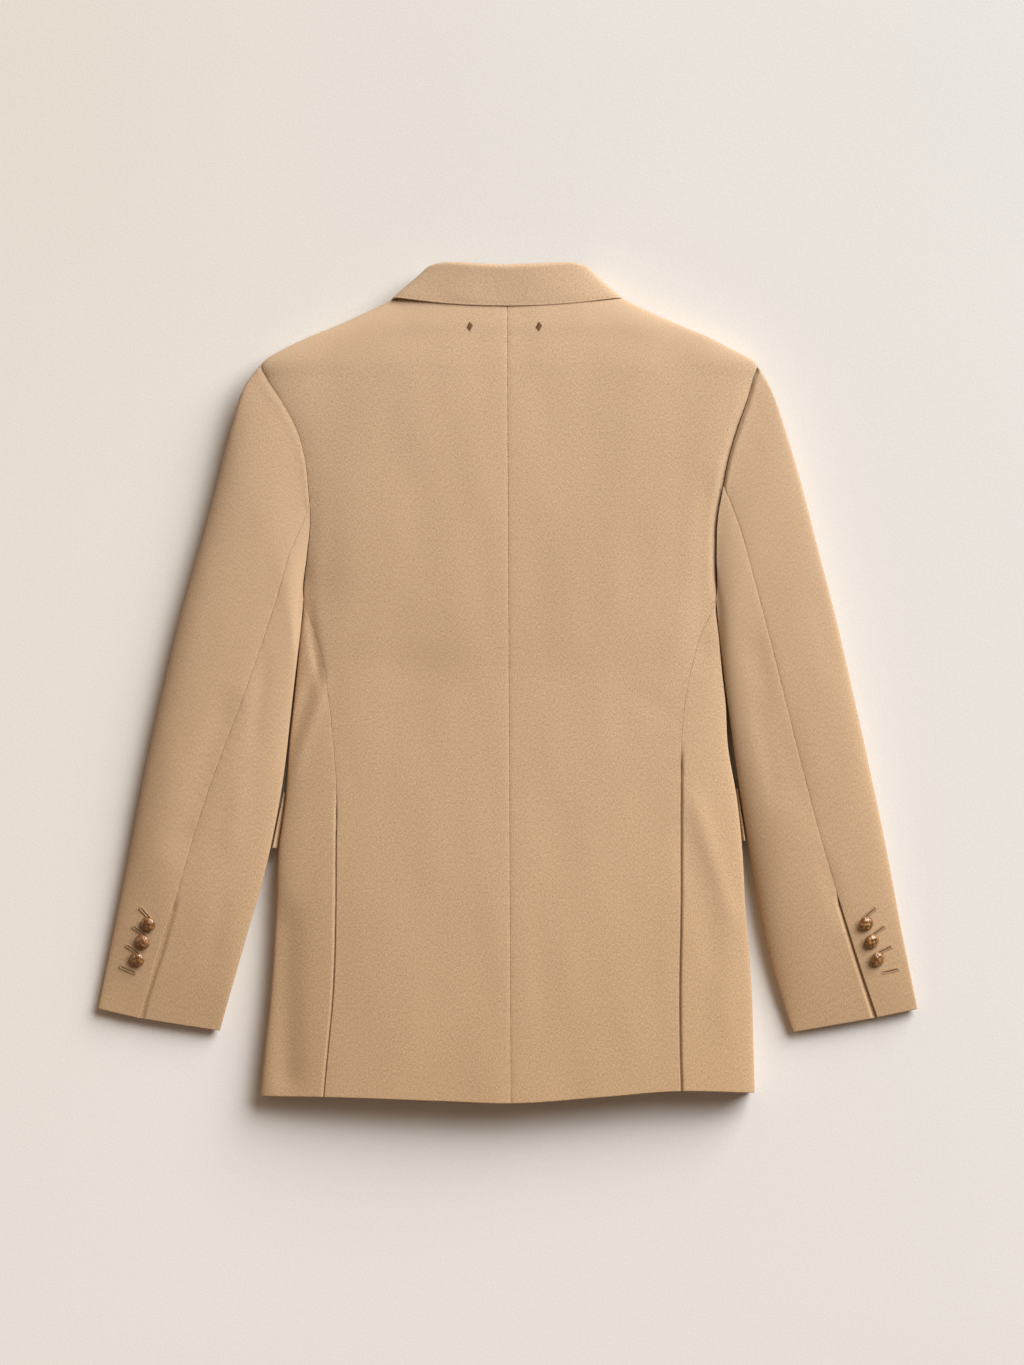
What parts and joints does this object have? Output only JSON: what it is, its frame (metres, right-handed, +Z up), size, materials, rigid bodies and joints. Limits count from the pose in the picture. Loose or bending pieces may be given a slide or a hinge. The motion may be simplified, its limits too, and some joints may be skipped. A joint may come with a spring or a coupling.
{
  "type": "double breasted blazer",
  "caption": "Tailored wool blazer laid flat face down, back up: notched collar, two-piece sleeves, side vents, buttoned cuffs and a double breasted front.",
  "frame": {"origin": "middle of the footprint on the surface that the blazer lies on", "axes": "+Z up off the surface, out of the back; +Y from the hem to the collar; +X towards the garment's own right side"},
  "size_m": [0.778, 0.797, 0.036],
  "materials": {
    "wool": "fine matt camel wool twill with a soft nap",
    "button": "glossy domed brown button of woven leather look"
  },
  "bodies": {
    "root": {"collar": "wool", "back_left": "wool", "side_left": "wool", "front_left": "wool", "lapel_left": "wool", "flap_left": "wool", "top_sleeve_left": "wool", "under_sleeve_left": "wool", "cuff_button_left_1": "button", "cuff_button_left_2": "button", "cuff_button_left_3": "button", "front_button_left_1": "button", "front_button_left_2": "button", "front_button_left_3": "button", "back_right": "wool", "side_right": "wool", "front_right": "wool", "lapel_right": "wool", "flap_right": "wool", "top_sleeve_right": "wool", "under_sleeve_right": "wool", "cuff_button_right_1": "button", "cuff_button_right_2": "button", "cuff_button_right_3": "button", "front_button_right_1": "button", "front_button_right_2": "button", "front_button_right_3": "button"}
  },
  "joints": []
}
